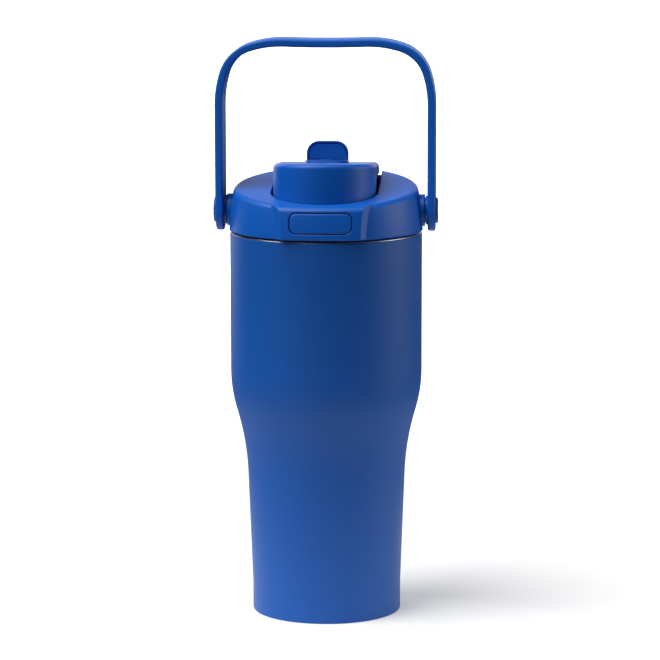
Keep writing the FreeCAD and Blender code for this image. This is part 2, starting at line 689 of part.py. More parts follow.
def cap_cover():
    """Outer shell of the flip cap."""
    solid = cap_solid(0, 0, CAP_BOTTOM_Z, CAP_ROUND)
    hollow = cap_solid(CAP_WALL, CAP_WALL, CAP_BOTTOM_Z - 3)
    step_low = below_slope(0, cap_top(0) - CAP_STEP_DROP, CAP_SLOPE, False)
    steps = [
        box((CAP_HALF - CAP_STEP, CAP_STEP_Y, SEAM_Z), (FAR, FAR, LID_ABOVE)).common(step_low),
        box((-FAR, CAP_STEP_Y, SEAM_Z), (CAP_STEP - CAP_HALF, FAR, LID_ABOVE)).common(step_low),
    ]
    cover = solid.cut(hollow).cut(steps).fuse(on_cap_top(platform()))
    slot = box(*KNUCKLE_SLOT)
    port = cylinder(PORT_R, -6, 6, y=STRAW_Y - FLAP_Y)
    flap_pin_hole = cross_cylinder(FLAP_PIN_R, -FLAP_PIN_HOLE, FLAP_PIN_HOLE, 0, FLAP_AXIS_H)
    pin_hole = cross_cylinder(HINGE_PIN_R + RUNNING, -FAR, FAR, HINGE_Y, HINGE_Z)
    cuts = [on_cap_top(slot), on_cap_top(port), on_cap_top(flap_pin_hole), pin_hole]
    return cover.cut(cuts).removeSplitter()


def cap_frame():
    """Inner frame welded under the cover: top plate, hinge knuckles and latch tongue."""
    inset = CAP_WALL + FRAME_GAP
    inner = cap_solid(inset, inset, CAP_BOTTOM_Z)
    plate_low = below_slope(0, cap_top(0) - inset - FRAME_THICK, CAP_SLOPE, False)
    ahead = box((-FAR, -FAR, SEAM_Z), (FAR, HINGE_Y + KNUCKLE_R - 1, LID_ABOVE))
    plate = inner.cut(plate_low).common(ahead)
    knuckles = []
    for x_low in KNUCKLE_LOW_X:
        barrel = cross_cylinder(KNUCKLE_R, x_low, x_low + KNUCKLE_W, HINGE_Y, HINGE_Z)
        web = box((x_low, HINGE_Y - KNUCKLE_R + 1, HINGE_Z),
                  (x_low + KNUCKLE_W, HINGE_Y + KNUCKLE_R - 2, HINGE_Z + KNUCKLE_RISE))
        knuckles += [barrel, web.common(inner)]
    back_y = TONGUE_FRONT_Y + TONGUE_THICK
    tongue = box((-TONGUE_HALF, TONGUE_FRONT_Y, TONGUE_TIP_Z), (TONGUE_HALF, back_y, TONGUE_TOP_Z))
    tooth_top = SLIDER_Z - TOOTH_DROP
    tooth_y, inside_y = back_y + TOOTH_REACH, back_y - MERGE
    outline = [(inside_y, TONGUE_TIP_Z), (back_y, TONGUE_TIP_Z), (tooth_y, tooth_top - TOOTH_DROP),
               (tooth_y, tooth_top), (inside_y, tooth_top)]
    tooth = polygon([Vector(-TONGUE_HALF, y, z) for y, z in outline])
    tooth = tooth.extrude(Vector(2 * TONGUE_HALF, 0, 0))
    frame = plate.fuse(knuckles + [tongue, tooth])
    port = on_cap_top(cylinder(PORT_R, -8, 6, y=STRAW_Y - FLAP_Y))
    pin_hole = cross_cylinder(HINGE_PIN_R + RUNNING, -FAR, FAR, HINGE_Y, HINGE_Z)
    return frame.cut([port, pin_hole]).removeSplitter()


def spout_seal():
    """Silicone pad under the frame that closes the mouth and seats on the straw port."""
    low = SPOUT_TOP_Z + SEAL_GAP
    pad = cylinder(MOUTH_R + SEAL_OVERLAP, low, LID_ABOVE, y=MOUTH_Y)
    pad = pad.fuse(cylinder(STRAW_TUBE_R + SEAL_OVERLAP, low, LID_ABOVE, y=STRAW_Y))
    frame_low = CAP_WALL + FRAME_GAP + FRAME_THICK + RUNNING
    ceiling = below_slope(0, cap_top(0) - frame_low, CAP_SLOPE, False)
    relief = cylinder(MOUTH_BORE - SEAL_RELIEF, low, low + SEAL_RELIEF, y=MOUTH_Y)
    port = on_cap_top(cylinder(PORT_R, -9, 6, y=STRAW_Y - FLAP_Y))
    return pad.common(ceiling).cut([relief, port]).removeSplitter()


def port_grommet():
    """Soft lining of the sip port, standing proud of the platform as a sealing ring."""
    y = STRAW_Y - FLAP_Y
    lip_top = PLATFORM_H + GROMMET_PROUD
    sleeve = cylinder(PORT_R - RUNNING, -GROMMET_REACH, PLATFORM_H, y=y)
    lip = cylinder(GROMMET_LIP_R, PLATFORM_H - 1, lip_top, y=y)
    ring = sleeve.fuse(lip).cut(cylinder(GROMMET_BORE, -FAR, FAR, y=y))
    crest = [e for e in ring.Edges if e.BoundBox.ZMin > lip_top - TINY]
    ring = on_cap_top(ring.makeFillet(GROMMET_CREST, crest))
    floor = box((-FAR, -FAR, SEAM_Z), (FAR, FAR, SPOUT_TOP_Z + SEAL_GAP))
    return ring.cut(floor)


def sip_flap():
    """Rounded tab with a dished face, on a short knuckle."""
    half = FLAP_W / 2
    face_y = PLATFORM_H + FLAP_FACE_GAP - FLAP_AXIS_H
    plate = arched_plate(half, FLAP_FOOT, FLAP_TOP, FLAP_CORNER, face_y, face_y + FLAP_THICK)
    rim = [
        e for e in plate.Edges
        if e.CenterOfMass.z > FLAP_FOOT + TINY and e.BoundBox.YLength < TINY
    ]
    plate = plate.makeFillet(FLAP_EDGE, rim)
    knuckle = cross_cylinder(FLAP_KNUCKLE_R, -FLAP_KNUCKLE_HALF, FLAP_KNUCKLE_HALF, 0, FLAP_AXIS_H)
    link = box((-FLAP_KNUCKLE_HALF, -MERGE, FLAP_AXIS_H - 0.9), (FLAP_KNUCKLE_HALF, face_y + 1.0, 1.4))
    dish = arched_plate(half - FLAP_RIM, FLAP_RIM + 0.3, FLAP_TOP - FLAP_RIM, FLAP_CORNER - FLAP_RIM,
                        face_y - 1, face_y + FLAP_DISH)
    bore = cross_cylinder(FLAP_PIN_R + RUNNING, -FAR, FAR, 0, FLAP_AXIS_H)
    return on_cap_top(plate.cut(dish).fuse([knuckle, link]).cut(bore).removeSplitter())


def flap_seal():
    """Thin silicone pad in the flap's dish."""
    face_y = PLATFORM_H + FLAP_FACE_GAP - FLAP_AXIS_H
    inset = FLAP_RIM + 0.2
    pad = arched_plate(FLAP_W / 2 - inset, inset + 0.3, FLAP_TOP - inset, FLAP_CORNER - inset,
                       face_y + FLAP_DISH - FLAP_PAD, face_y + FLAP_DISH)
    return on_cap_top(pad)


def flap_pin():
    return on_cap_top(cross_cylinder(FLAP_PIN_R, -FLAP_PIN_HALF, FLAP_PIN_HALF, 0, FLAP_AXIS_H))


def latch_button():
    """Push button in one piece with the slider that holds the tongue."""
    face = rounded_plate(BUTTON_W / 2, BUTTON_Z - BUTTON_H / 2, BUTTON_Z + BUTTON_H / 2,
                         BUTTON_CORNER, -FAR, BUTTON_BACK_Y - BUTTON_FLANGE_THICK / 2)
    face = face.common(panel_drum(BUTTON_PROUD))
    front = [e for e in face.Edges if e.BoundBox.YMax < BUTTON_BACK_Y - BUTTON_FLANGE_THICK]
    face = face.makeFillet(BUTTON_EDGE, front)
    flange = box((-BUTTON_FLANGE_HALF, BUTTON_BACK_Y - BUTTON_FLANGE_THICK, BUTTON_FLANGE_LOW_Z),
                 (BUTTON_FLANGE_HALF, BUTTON_BACK_Y, BUTTON_FLANGE_HIGH_Z))
    bar_y = TONGUE_FRONT_Y + TONGUE_THICK + MERGE
    slider = box((-SLIDER_HALF, BUTTON_BACK_Y - MERGE, SLIDER_Z),
                 (SLIDER_HALF, bar_y + SLIDER_BAR, SLIDER_Z + SLIDER_THICK))
    eye_half = TONGUE_HALF + TONGUE_SIDE_GAP
    eye = box((-eye_half, SLIDER_EYE_Y, SEAM_Z), (eye_half, bar_y, DECK_Z))
    return face.fuse([flange, slider]).cut(eye).removeSplitter()


def latch_springs():
    """Two small compression springs behind the button."""
    spring = helix_wire(LATCH_SPRING_R, LATCH_SPRING_PITCH, LATCH_SPRING_TURNS, LATCH_WIRE_R)
    spring.rotate(Vector(0, 0, 0), X_AXIS, -90)
    spring.translate(Vector(LATCH_SPRING_X, BUTTON_BACK_Y + LATCH_WIRE_R + 0.1, LATCH_SPRING_Z))
    return mirrored_pair(spring)


def cap_spring():
    """Torsion spring coiled round the hinge pin."""
    coil = helix_wire(CAP_SPRING_R, CAP_SPRING_PITCH, CAP_SPRING_TURNS, CAP_WIRE_R)
    coil.rotate(Vector(0, 0, 0), Y_AXIS, 90)
    coil.translate(Vector(-CAP_SPRING_PITCH * CAP_SPRING_TURNS / 2, HINGE_Y, HINGE_Z))
    return coil


def hinge_pin():
    return cross_cylinder(HINGE_PIN_R, -HINGE_PIN_END, HINGE_PIN_END, HINGE_Y, HINGE_Z)


def bail_handle():
    """Flat strap bent to an arch; each end is a round lug about the pivot."""
    def half_outline(inset):
        """Points of one arc after another, from the leg to the middle of the top."""
        steps = [(HANDLE_ARC_LONG, HANDLE_TURN_LEG), (HANDLE_ARC_SHORT, HANDLE_TURN_CORNER),
                 (HANDLE_ARC_LONG, HANDLE_TURN_TOP)]
        leg_end = math.radians(HANDLE_TURN_LEG)
        corner_end = math.radians(HANDLE_TURN_LEG + HANDLE_TURN_CORNER)
        heading = math.radians(90)
        rise = HANDLE_ARC_LONG * (math.sin(leg_end) + 1 - math.sin(corner_end))
        rise += HANDLE_ARC_SHORT * (math.sin(corner_end) - math.sin(leg_end))
        spot = Vector(-HANDLE_HALF + inset, 0, HANDLE_TOP_Z - rise)
        edges = [line(Vector(spot.x, 0, PIVOT_Z - HANDLE_W), spot)]
        for radius, turn in steps:
            reach = radius - inset
            centre = spot + Vector(math.sin(heading), 0, -math.cos(heading)) * reach
            points = [spot]
            for part in (0.5, 1.0):
                angle = heading - math.radians(turn) * part
                points.append(centre + Vector(-math.sin(angle), 0, math.cos(angle)) * reach)
            edges.append(arc(*points))
            heading -= math.radians(turn)
            spot = points[-1]
        dip_r = -spot.x / math.sin(-heading)
        half_turn = heading / 2
        dip_centre = spot + Vector(-math.sin(heading), 0, math.cos(heading)) * dip_r
        points = [spot]
        for angle in (half_turn, 0.0):
            points.append(dip_centre + Vector(math.sin(angle), 0, -math.cos(angle)) * dip_r)
        edges.append(arc(*points))
        return edges

    outline = []
    for inset in (0.0, HANDLE_THICK):
        half = half_outline(inset)
        outline += half + [e.mirror(Vector(0, 0, 0), X_AXIS) for e in half]
    for side in (-1, 1):
        foot = [Vector(side * (HANDLE_HALF - t), 0, PIVOT_Z - HANDLE_W) for t in (0, HANDLE_THICK)]
        outline.append(line(*foot))
    face = Part.Face(Part.Wire(Part.__sortEdges__(outline)))
    strap = face.extrude(Vector(0, HANDLE_W, 0))
    strap.translate(Vector(0, -HANDLE_W / 2, 0))
    lug = cross_cylinder(HANDLE_W / 2, -FAR, FAR, 0, PIVOT_Z)
    above = box((-FAR, -FAR, PIVOT_Z), (FAR, FAR, HANDLE_TOP_Z + FAR))
    strap = strap.common(lug.fuse(above))
    edges = [e for e in strap.Edges if e.BoundBox.XLength > 0.01 or e.BoundBox.YLength < 0.01
             or e.Curve.TypeId != "Part::GeomLine"]
    rounded = [e for e in edges if e.Curve.TypeId != "Part::GeomLine" or e.BoundBox.ZLength > 5]
    strap = strap.makeFillet(HANDLE_EDGE, rounded)
    return strap.cut(cross_cylinder(BUSH_R, -FAR, FAR, 0, PIVOT_Z))


def pivot_bush():
    """Flanged nylon bush in each lug."""
    leg_in = HANDLE_HALF - HANDLE_THICK
    bush = cross_cylinder(BUSH_R, BUSH_FLANGE_X, HANDLE_HALF, 0, PIVOT_Z)
    bush = bush.fuse(cross_cylinder(BUSH_FLANGE_R, BUSH_FLANGE_X, leg_in, 0, PIVOT_Z))
    return bush.cut(cross_cylinder(PIVOT_PIN_R + RUNNING, PIVOT_ROOT_X, FAR, 0, PIVOT_Z)).removeSplitter()


def pivot_pin():
    """Shouldered pin pressed into the collar's boss, with a flat chamfered head."""
    shank = cross_cylinder(PIVOT_PIN_R, PIVOT_ROOT_X, PIVOT_HEAD_X + MERGE, 0, PIVOT_Z)
    head = cross_cylinder(PIVOT_HEAD_R, PIVOT_HEAD_X, PIVOT_END_X, 0, PIVOT_Z)
    rim = [e for e in head.Edges if e.BoundBox.XMin > PIVOT_END_X - TINY]
    return shank.fuse(head.makeChamfer(PIVOT_CHAMFER, rim)).removeSplitter()


def friction_washer():
    """Thin washer between boss and bush."""
    ring = cross_cylinder(WASHER_R, BOSS_END_X, BUSH_FLANGE_X - WASHER_GAP, 0, PIVOT_Z)
    return ring.cut(cross_cylinder(PIVOT_PIN_R, PIVOT_ROOT_X, FAR, 0, PIVOT_Z))


os.makedirs("parts", exist_ok=True)
save("outer_shell", outer_shell())
save("inner_liner", inner_liner())
save("base_plate", base_plate())
save("vacuum_seal", vacuum_seal())
save("lid_collar", lid_collar())
save("lid_core", lid_core())
save("lid_gasket", lid_gasket())
save("drink_spout", drink_spout())
save("spout_gasket", spout_gasket())
save("straw", straw())
save("straw_grommet", straw_grommet())
save("cap_cover", cap_cover())
save("cap_frame", cap_frame())
save("spout_seal", spout_seal())
save("port_grommet", port_grommet())
save("hinge_pin", hinge_pin())
save("cap_spring", cap_spring())
save("sip_flap", sip_flap())
save("flap_seal", flap_seal())
save("flap_pin", flap_pin())
save("latch_button", latch_button())
save("latch_springs", latch_springs())
save("bail_handle", bail_handle())
save("pivot_bushes", mirrored_pair(pivot_bush()))
save("pivot_pins", mirrored_pair(pivot_pin()))
save("friction_washers", mirrored_pair(friction_washer()))
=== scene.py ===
import math

import bpy
import numpy as np
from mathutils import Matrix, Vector


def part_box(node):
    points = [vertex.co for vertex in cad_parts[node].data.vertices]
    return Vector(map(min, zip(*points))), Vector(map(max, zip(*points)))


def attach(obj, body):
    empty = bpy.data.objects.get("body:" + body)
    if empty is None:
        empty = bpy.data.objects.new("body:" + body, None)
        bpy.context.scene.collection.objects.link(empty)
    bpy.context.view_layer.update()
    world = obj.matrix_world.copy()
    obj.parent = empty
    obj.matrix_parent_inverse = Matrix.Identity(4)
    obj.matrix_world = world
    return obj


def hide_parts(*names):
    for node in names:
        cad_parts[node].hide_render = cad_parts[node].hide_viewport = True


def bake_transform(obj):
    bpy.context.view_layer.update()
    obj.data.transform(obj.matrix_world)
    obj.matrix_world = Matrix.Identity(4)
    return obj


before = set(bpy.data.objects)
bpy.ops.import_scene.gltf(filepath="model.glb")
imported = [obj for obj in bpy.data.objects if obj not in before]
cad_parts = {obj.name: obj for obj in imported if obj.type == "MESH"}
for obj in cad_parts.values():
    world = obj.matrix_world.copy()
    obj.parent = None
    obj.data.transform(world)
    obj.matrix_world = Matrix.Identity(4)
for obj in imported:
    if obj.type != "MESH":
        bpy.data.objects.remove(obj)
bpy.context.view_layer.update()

# ---------------------------------------------------------------- studio
# A white paper table in a dark room. One broad soft light comes from the upper left. Four
# weak panels stand behind on the left, on the right, straight behind and overhead.
CAMERA_DISTANCE = 1.6
CAMERA_ELEVATION = math.radians(8.84)
CAMERA_AZIMUTH = math.radians(3.4)
CAMERA_ROLL = math.radians(-0.1)
AIM_HEIGHT = 0.1468
LENS_MM = 168.5
SHIFT_X = 0.0056

scene = bpy.context.scene
toward_camera = Vector((
    math.sin(CAMERA_AZIMUTH) * math.cos(CAMERA_ELEVATION),
    -math.cos(CAMERA_AZIMUTH) * math.cos(CAMERA_ELEVATION),
    math.sin(CAMERA_ELEVATION),
))
camera = bpy.data.objects.new("camera", bpy.data.cameras.new("camera"))
scene.collection.objects.link(camera)
camera.location = Vector((0, 0, AIM_HEIGHT)) + toward_camera * CAMERA_DISTANCE
camera.rotation_euler = (-toward_camera).to_track_quat("-Z", "Y").to_euler()
camera.rotation_euler.rotate_axis("Z", CAMERA_ROLL)
camera.data.lens = LENS_MM
camera.data.shift_x = SHIFT_X
scene.camera = camera
scene.view_settings.view_transform = "Standard"


def link(tree, *pairs):
    """Joins sockets: each pair is (from socket, to socket)."""
    for source, target in pairs:
        tree.links.new(source, target)


def camera_split(tree, seen, lit):
    """A Mix Shader that shows the camera one shader and lets light meet the other."""
    path = tree.nodes.new("ShaderNodeLightPath")
    mix = tree.nodes.new("ShaderNodeMixShader")
    link(tree, (path.outputs["Is Camera Ray"], mix.inputs["Fac"]),
         (lit, mix.inputs[1]), (seen, mix.inputs[2]))
    return mix.outputs[0]


ROOM_COLOUR = (0.97, 0.98, 1.0, 1)
ROOM_LIGHT = 0.02
WHITE = (1, 1, 1, 1)
world = bpy.data.worlds.new("room")
world.use_nodes = True
room = world.node_tree
dark = room.nodes["Background"]
dark.inputs["Color"].default_value = ROOM_COLOUR
dark.inputs["Strength"].default_value = ROOM_LIGHT
bright = room.nodes.new("ShaderNodeBackground")
bright.inputs["Color"].default_value = WHITE
link(room, (camera_split(room, bright.outputs[0], dark.outputs[0]),
            room.nodes["World Output"].inputs["Surface"]))
scene.world = world


def aim_light(kind, name, azimuth, elevation, distance, energy):
    """A lamp seen from the object's middle at that azimuth, 0 in front and 90 on the right."""
    data = bpy.data.lights.new(name, kind)
    data.energy = energy
    lamp = bpy.data.objects.new(name, data)
    scene.collection.objects.link(lamp)
    turn, rise = math.radians(azimuth), math.radians(elevation)
    outward = Vector((math.sin(turn) * math.cos(rise), -math.cos(turn) * math.cos(rise), math.sin(rise)))
    lamp.location = Vector((0, 0, AIM_HEIGHT)) + outward * distance
    lamp.rotation_euler = outward.to_track_quat("Z", "Y").to_euler()
    return data


def panel_light(name, azimuth, elevation, distance, size, energy):
    """A flat rectangular lamp, size as width and height in metres."""
    data = aim_light("AREA", name, azimuth, elevation, distance, energy)
    data.shape = "RECTANGLE"
    data.size, data.size_y = size


KEY_SOFTNESS = math.radians(54)
key = aim_light("SUN", "key", azimuth=-62, elevation=53, distance=3.0, energy=4.0)
key.angle = KEY_SOFTNESS
panel_light("left_box", azimuth=-142, elevation=14, distance=1.3, size=(0.6, 1.1), energy=4.5)
panel_light("right_box", azimuth=94, elevation=10, distance=1.3, size=(0.8, 1.0), energy=8.5)
panel_light("backdrop", azimuth=180, elevation=14, distance=1.5, size=(2.6, 0.7), energy=7.5)
panel_light("top_strip", azimuth=-10, elevation=80, distance=1.1, size=(1.0, 0.3), energy=3.2)

# The table has two looks, each with a grey tone and a glow that change with the distance
# from its middle. The camera sees one that glows, a painted light that brightens it outward
# to white, and that is greyer with less glow near the middle, a painted shade round the
# object's foot. Light meets one that is pale only near the object and glows there as a
# painted bounce light on the object, so the far table throws nothing back at it.
TABLE_HALF = 16.0
SEEN_NEAR, SEEN_FAR = 0.35, 0.9
SEEN_TONE = (0.60, 0.9)
SEEN_PAINTED_GLOW = (0.3, 0.9)
LIT_NEAR, LIT_FAR = 0.12, 0.42
LIT_TONE = (0.74, 0.03)
LIT_GLOW = (0.3, 0.0)
table_mesh = bpy.data.meshes.new("table_top")
corners = [(x * TABLE_HALF, y * TABLE_HALF, 0) for x, y in ((-1, -1), (1, -1), (1, 1), (-1, 1))]
table_mesh.from_pydata(corners, [], [(0, 1, 2, 3)])
table = bpy.data.objects.new("table_top", table_mesh)
scene.collection.objects.link(table)
paper_painted_glow = bpy.data.materials.new("white_paper_painted_glow")
paper_painted_glow.use_nodes = True
tree = paper_painted_glow.node_tree
place = tree.nodes.new("ShaderNodeTexCoord")
reach = tree.nodes.new("ShaderNodeVectorMath")
reach.operation = "LENGTH"
link(tree, (place.outputs["Object"], reach.inputs[0]))


def ramp(tree, source, near, far, values):
    """A smooth step of the source from the first of the values at near to the second at far."""
    step = tree.nodes.new("ShaderNodeMapRange")
    step.interpolation_type = "SMOOTHSTEP"
    low, high = values
    for socket, value in (("From Min", near), ("From Max", far), ("To Min", low), ("To Max", high)):
        step.inputs[socket].default_value = value
    link(tree, (source, step.inputs["Value"]))
    return step.outputs["Result"]


def lit_sheet(tree, distance, near, far, tone, glow):
    """A diffuse surface that also glows; tone and glow each hold the near and the far value."""
    sheet = tree.nodes.new("ShaderNodeBsdfDiffuse")
    emission = tree.nodes.new("ShaderNodeEmission")
    both = tree.nodes.new("ShaderNodeAddShader")
    link(tree, (ramp(tree, distance, near, far, tone), sheet.inputs["Color"]),
         (ramp(tree, distance, near, far, glow), emission.inputs["Strength"]),
         (sheet.outputs[0], both.inputs[0]), (emission.outputs[0], both.inputs[1]))
    return both.outputs[0]


# seen holds the painted glow and the painted shade round the object; lit holds the painted bounce.
seen = lit_sheet(tree, reach.outputs["Value"], SEEN_NEAR, SEEN_FAR, SEEN_TONE, SEEN_PAINTED_GLOW)
lit = lit_sheet(tree, reach.outputs["Value"], LIT_NEAR, LIT_FAR, LIT_TONE, LIT_GLOW)
link(tree, (camera_split(tree, seen, lit), tree.nodes["Material Output"].inputs["Surface"]))
table_mesh.materials.append(paper_painted_glow)

# ---------------------------------------------------------------- outer shell
# The outer wall is a deep-drawn steel can, spun in at the neck and rolled under at the
# foot. It is sprayed with a fine matte powder and baked, so it has a faint even grain.
mm = 0.001
BASE_INSET = 1.3 * mm
FOOT_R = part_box("base_plate")[1].x + BASE_INSET
BODY_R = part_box("outer_shell")[1].x
RIM_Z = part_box("outer_shell")[1].z
RIM_GAP = 0.01 * mm
RIM_ROUND = 0.25 * mm
FOOT_TOP_Z = 14 * mm
FOOT_ROUND = 0.8 * mm
FOOT_BLEND_R = 60 * mm
FOOT_OPENING_R = 35.2 * mm
SHELL_WALL = 0.7 * mm
TAPER = math.radians(2.2)
FLARE = math.radians(15.7)
FLARE_START_Z = 73 * mm
FLARE_LOWER_R = 128 * mm
FLARE_UPPER_R = 70 * mm
ARC_STEP = math.radians(2.5)
COLUMNS = 288
SHARP_TURN = math.radians(40)


def rounded_path(corners):
    """Points of an open line whose corners are arcs.

    corners holds (x, y, radius). Each arc touches both sides of its corner, a tangent
    length radius x tan(half the turn) away from it. It is sampled every ARC_STEP of
    turn, at three points or more.
    """
    points = [np.array(corners[0][:2])]
    for before, corner, after in zip(corners, corners[1:], corners[2:]):
        here = np.array(corner[:2])
        radius = corner[2]
        if radius == 0:
            points.append(here)
            continue
        inward = here - np.array(before[:2])
        outward = np.array(after[:2]) - here
        inward = inward / np.linalg.norm(inward)
        outward = outward / np.linalg.norm(outward)
        cross = inward[0] * outward[1] - inward[1] * outward[0]
        turn = math.atan2(cross, float(inward @ outward))
        start = here - inward * radius * math.tan(abs(turn) / 2)
        side = math.copysign(1.0, turn)
        centre = start + side * radius * np.array((-inward[1], inward[0]))
        angles = np.linspace(0, turn, max(3, math.ceil(abs(turn) / ARC_STEP) + 1))
        spoke = start - centre
        swung = np.stack((np.cos(angles) * spoke[0] - np.sin(angles) * spoke[1],
                          np.sin(angles) * spoke[0] + np.cos(angles) * spoke[1]), 1)
        points.extend(centre + swung)
    points.append(np.array(corners[-1][:2]))
    return np.array(points)


def signed_volume(mesh):
    """Six times the volume inside a closed mesh: a . (b x c) summed over its triangles
    a, b, c. It is negative when the faces point inward."""
    mesh.calc_loop_triangles()
    triangles = np.zeros(len(mesh.loop_triangles) * 3, np.int64)
    mesh.loop_triangles.foreach_get("vertices", triangles)
    spots = np.zeros(len(mesh.vertices) * 3)
    mesh.vertices.foreach_get("co", spots)
    a, b, c = spots.reshape(-1, 3)[triangles.reshape(-1, 3)].transpose(1, 0, 2)
    return np.einsum("ij,ij->i", a, np.cross(b, c)).sum()


def surface(name, grid, ring):
    """A mesh object through a grid of points, rows x columns x 3, in metres.

    The columns always close on themselves. The rows of a ring do too; otherwise the first
    and last row are ends, each closed by a point at its middle. Edges that turn by more
    than SHARP_TURN stay crisp, and the faces point outward.
    """
    rows, columns = grid.shape[:2]
    vertices = grid.reshape(-1, 3)
    index = np.arange(rows * columns).reshape(rows, columns)
    below = np.roll(index, -1, 0) if ring else index[1:]
    above = index if ring else index[:-1]
    right_above, right_below = np.roll(above, -1, 1), np.roll(below, -1, 1)
    faces = np.stack((above, right_above, right_below, below), -1).reshape(-1, 4).tolist()
    if not ring:
        for end in (index[0][::-1], index[-1]):
            middle = len(vertices)
            vertices = np.vstack((vertices, vertices[end].mean(0)))
            faces += [(int(a), int(b), middle) for a, b in zip(end, np.roll(end, -1))]
    mesh = bpy.data.meshes.new(name)
    mesh.from_pydata(vertices.tolist(), [], faces)
    mesh.validate()
    mesh.update()
    if signed_volume(mesh) < 0:
        mesh.flip_normals()
    mesh.polygons.foreach_set("use_smooth", np.ones(len(mesh.polygons), bool))
    mesh.set_sharp_from_angle(angle=SHARP_TURN)
    piece = bpy.data.objects.new(name, mesh)
    scene.collection.objects.link(piece)
    return piece


def turned_ring(name, profile):
    """A lathed ring: the closed profile holds (radius, height), and its point at an angle
    round the z axis is (radius x cos angle, radius x sin angle, height)."""
    angle = np.linspace(0, 2 * math.pi, COLUMNS, endpoint=False)
    radius, height = profile[:, :1], profile[:, 1:]
    across, along = radius * np.cos(angle), radius * np.sin(angle)
    grid = np.stack((across, along, np.broadcast_to(height, across.shape)), -1)
    return surface(name, grid, ring=True)


SEED_STRIDE = (1.0, 0.7, 1.3)
DRIFT_SCALE = 14
DRIFT_DETAIL = 2
GRAIN_DETAIL = 3
GRAIN_ROUGHNESS = 0.55
GLOSS_SPREAD = 0.05
SOFTEN_SAMPLES = 8


def fine_finish(name, colour, roughness, grain, relief, specular=0.5, drift=0.06, seed=0.0, soften=0.0):
    """A Principled material with an even grain: colour drifts a little over the piece,
    roughness varies with a fine noise, and the same noise lifts the surface by relief.
    soften is the radius to which crisp edges are shaded as if rounded."""
    material = bpy.data.materials.new(name)
    material.use_nodes = True
    tree = material.node_tree
    shader = tree.nodes["Principled BSDF"]
    shader.inputs["Specular IOR Level"].default_value = specular
    spot = tree.nodes.new("ShaderNodeTexCoord")
    shift = tree.nodes.new("ShaderNodeMapping")
    shift.inputs["Location"].default_value = [seed * stride for stride in SEED_STRIDE]
    broad = tree.nodes.new("ShaderNodeTexNoise")
    broad.inputs["Scale"].default_value = DRIFT_SCALE
    broad.inputs["Detail"].default_value = DRIFT_DETAIL
    fine = tree.nodes.new("ShaderNodeTexNoise")
    fine.inputs["Scale"].default_value = grain
    fine.inputs["Detail"].default_value = GRAIN_DETAIL
    fine.inputs["Roughness"].default_value = GRAIN_ROUGHNESS
    shade = tree.nodes.new("ShaderNodeMix")
    shade.data_type = "RGBA"
    shade.inputs["A"].default_value = (*[c * (1 - drift) for c in colour], 1)
    shade.inputs["B"].default_value = (*[c * (1 + drift) for c in colour], 1)
    gloss = tree.nodes.new("ShaderNodeMapRange")
    gloss.inputs["To Min"].default_value = roughness - GLOSS_SPREAD
    gloss.inputs["To Max"].default_value = roughness + GLOSS_SPREAD
    lift = tree.nodes.new("ShaderNodeBump")
    lift.inputs["Strength"].default_value = 1.0
    lift.inputs["Distance"].default_value = relief
    link(tree, (spot.outputs["Object"], shift.inputs["Vector"]),
         (shift.outputs["Vector"], broad.inputs["Vector"]), (shift.outputs["Vector"], fine.inputs["Vector"]),
         (broad.outputs["Fac"], shade.inputs["Factor"]),
         (shade.outputs["Result"], shader.inputs["Base Color"]),
         (fine.outputs["Fac"], gloss.inputs["Value"]), (gloss.outputs["Result"], shader.inputs["Roughness"]),
         (fine.outputs["Fac"], lift.inputs["Height"]), (lift.outputs["Normal"], shader.inputs["Normal"]))
    if soften:
        round_edge = tree.nodes.new("ShaderNodeBevel")
        round_edge.samples = SOFTEN_SAMPLES
        round_edge.inputs["Radius"].default_value = soften
        link(tree, (round_edge.outputs[0], lift.inputs["Normal"]))
    return material


flare_start_r = FOOT_R + (FLARE_START_Z - FOOT_TOP_Z) * math.tan(TAPER)
lower_reach = FLARE_LOWER_R * math.tan((FLARE - TAPER) / 2)
lower_corner_r = flare_start_r + lower_reach * math.sin(TAPER)
lower_corner_z = FLARE_START_Z + lower_reach * math.cos(TAPER)
upper_corner_z = lower_corner_z + (BODY_R - lower_corner_r) / math.tan(FLARE)
shell_profile = rounded_path([
    (FOOT_OPENING_R, 0, 0),
    (FOOT_R, 0, FOOT_ROUND),
    (FOOT_R, FOOT_TOP_Z, FOOT_BLEND_R),
    (lower_corner_r, lower_corner_z, FLARE_LOWER_R),
    (BODY_R, upper_corner_z, FLARE_UPPER_R),
    (BODY_R, RIM_Z - RIM_GAP, RIM_ROUND),
    (BODY_R - SHELL_WALL, RIM_Z - RIM_GAP, 0),
    (BODY_R - SHELL_WALL, upper_corner_z, FLARE_UPPER_R),
    (lower_corner_r - SHELL_WALL, lower_corner_z, FLARE_LOWER_R),
    (FOOT_R - SHELL_WALL, FOOT_TOP_Z, FOOT_BLEND_R),
    (FOOT_R - SHELL_WALL, SHELL_WALL, 0),
    (FOOT_OPENING_R, SHELL_WALL, 0),
])
outer_shell = turned_ring("outer_shell_coat", shell_profile)
outer_shell.data.materials.append(fine_finish(
    "powder_coat", (0.0012, 0.070, 0.325), roughness=0.50, grain=2600, relief=0.012 * mm, specular=0.32))
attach(outer_shell, "bottle")
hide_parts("outer_shell")

# ---------------------------------------------------------------- liner, base and vacuum seal
# Bare stainless steel: the liner is drawn, the base disc is pressed and welded inside the
# foot, and a small disc seals its pumping port. Polishing on the lathe leaves fine rings.
RING_SCALE = 2200
RING_DETAIL = 4
RING_LIFT = 0.6
RING_RELIEF = 0.005 * mm
POLISH_SPREAD = (-0.08, 0.1)


